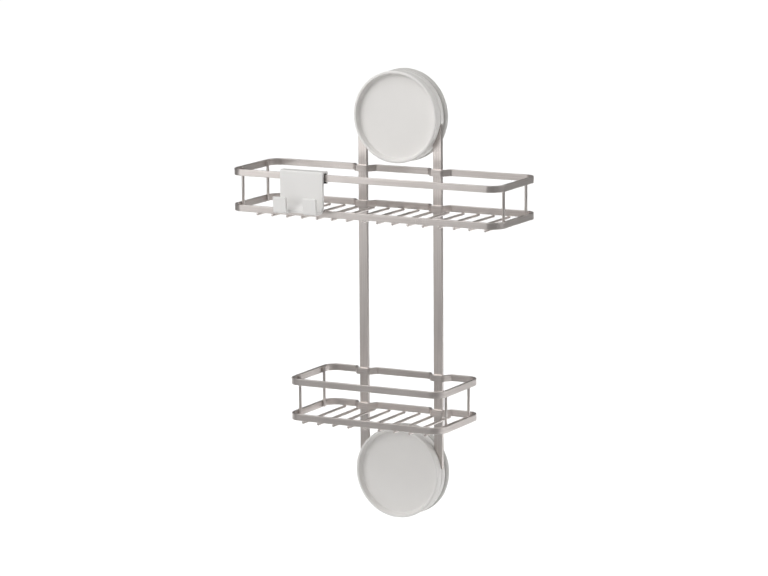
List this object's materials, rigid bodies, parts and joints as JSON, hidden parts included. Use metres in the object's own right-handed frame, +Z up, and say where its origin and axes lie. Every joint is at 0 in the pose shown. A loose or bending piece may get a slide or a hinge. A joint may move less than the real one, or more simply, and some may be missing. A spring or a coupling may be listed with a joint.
{
  "type": "shower caddy",
  "caption": "Wall-hung two-tier shower caddy in satin nickel bar and wire, on two round twist-lock suction pads, with a sliding double hook.",
  "frame": {"origin": "centre of the upper suction pad's flat wall face", "axes": "+X to the right of someone facing the wall, +Y into the wall, +Z up; the wall is the plane Y = 0"},
  "size_m": [0.32, 0.125, 0.488],
  "materials": {
    "satin_nickel": "satin nickel plating over steel bar and wire",
    "white_plastic": "satin moulded plastic, warm white",
    "soft_pad": "soft moulded suction pad, light grey",
    "plated_stud": "plated steel",
    "hook_plastic": "smooth moulded white plastic",
    "hook_liner": "dark soft grip strip"
  },
  "bodies": {
    "frame": {"upright_left": "satin_nickel", "upright_right": "satin_nickel", "upper_top_rail": "satin_nickel", "upper_bottom_rail": "satin_nickel", "lower_top_rail": "satin_nickel", "lower_bottom_rail": "satin_nickel", "upper_post_front_left": "satin_nickel", "upper_post_front_right": "satin_nickel", "upper_post_back_left": "satin_nickel", "upper_post_back_right": "satin_nickel", "lower_post_front_left": "satin_nickel", "lower_post_front_right": "satin_nickel", "lower_post_back_left": "satin_nickel", "lower_post_back_right": "satin_nickel", "upper_wire_01": "satin_nickel", "upper_wire_02": "satin_nickel", "upper_wire_03": "satin_nickel", "upper_wire_04": "satin_nickel", "upper_wire_05": "satin_nickel", "upper_wire_06": "satin_nickel", "upper_wire_07": "satin_nickel", "upper_wire_08": "satin_nickel", "upper_wire_09": "satin_nickel", "upper_wire_10": "satin_nickel", "upper_wire_11": "satin_nickel", "upper_wire_12": "satin_nickel", "upper_wire_13": "satin_nickel", "upper_wire_14": "satin_nickel", "upper_wire_15": "satin_nickel", "upper_wire_16": "satin_nickel", "lower_wire_01": "satin_nickel", "lower_wire_02": "satin_nickel", "lower_wire_03": "satin_nickel", "lower_wire_04": "satin_nickel", "lower_wire_05": "satin_nickel", "lower_wire_06": "satin_nickel", "lower_wire_07": "satin_nickel", "lower_wire_08": "satin_nickel", "lower_wire_09": "satin_nickel", "upper_mount_plate": "satin_nickel", "lower_mount_plate": "satin_nickel", "upper_housing": "white_plastic", "lower_housing": "white_plastic", "upper_pad": "soft_pad", "lower_pad": "soft_pad"},
    "upper_cap": {"upper_cap": "white_plastic"},
    "lower_cap": {"lower_cap": "white_plastic"},
    "upper_stud": {"upper_stud": "plated_stud"},
    "lower_stud": {"lower_stud": "plated_stud"},
    "hook": {"hook": "hook_plastic", "hook_liner": "hook_liner"}
  },
  "joints": [
    {"name": "hook_slide", "type": "slide", "parent": "frame", "child": "hook", "axis": [1, 0, 0], "range_m": [-0.049, 0.188]},
    {"name": "upper_cap_turn", "type": "hinge", "parent": "frame", "child": "upper_cap", "pos_m": [0, -0.02, 0], "axis": [0, -1, 0], "range_deg": [0, 90]},
    {"name": "lower_cap_turn", "type": "hinge", "parent": "frame", "child": "lower_cap", "pos_m": [0, -0.02, -0.388], "axis": [0, -1, 0], "range_deg": [0, 90]},
    {"name": "upper_stud_draw", "type": "slide", "parent": "frame", "child": "upper_stud", "axis": [0, 1, 0], "range_m": [0, 0.002]},
    {"name": "lower_stud_draw", "type": "slide", "parent": "frame", "child": "lower_stud", "axis": [0, 1, 0], "range_m": [0, 0.002]}
  ],
  "couplings": [
    {"joint": "upper_stud_draw", "follows": "upper_cap_turn", "m_per_rad": 0.00127},
    {"joint": "lower_stud_draw", "follows": "lower_cap_turn", "m_per_rad": 0.00127}
  ]
}
